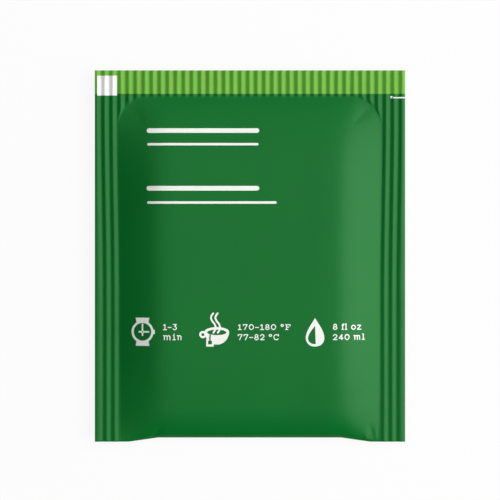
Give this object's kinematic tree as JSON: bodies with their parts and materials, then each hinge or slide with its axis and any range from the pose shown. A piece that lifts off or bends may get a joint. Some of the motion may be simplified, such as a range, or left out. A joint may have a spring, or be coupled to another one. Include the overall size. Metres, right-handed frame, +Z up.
{
  "type": "tea bag sachet",
  "caption": "Flat sealed sachet for one tea bag: green film, a light band at the top, vertical crimp ribs round a filled pillow, a folded lower edge and a tear nick.",
  "frame": {"origin": "middle of the sachet's footprint, on the surface that it lies on", "axes": "+X across the sachet to the right of its printed side, +Y up the sachet from the bottom fold to the cut top edge, +Z up from the surface, out of the printed side"},
  "size_m": [0.0636, 0.076, 0.006],
  "materials": {
    "film": "satin"
  },
  "bodies": {
    "root": {"sachet": "film"}
  },
  "joints": []
}
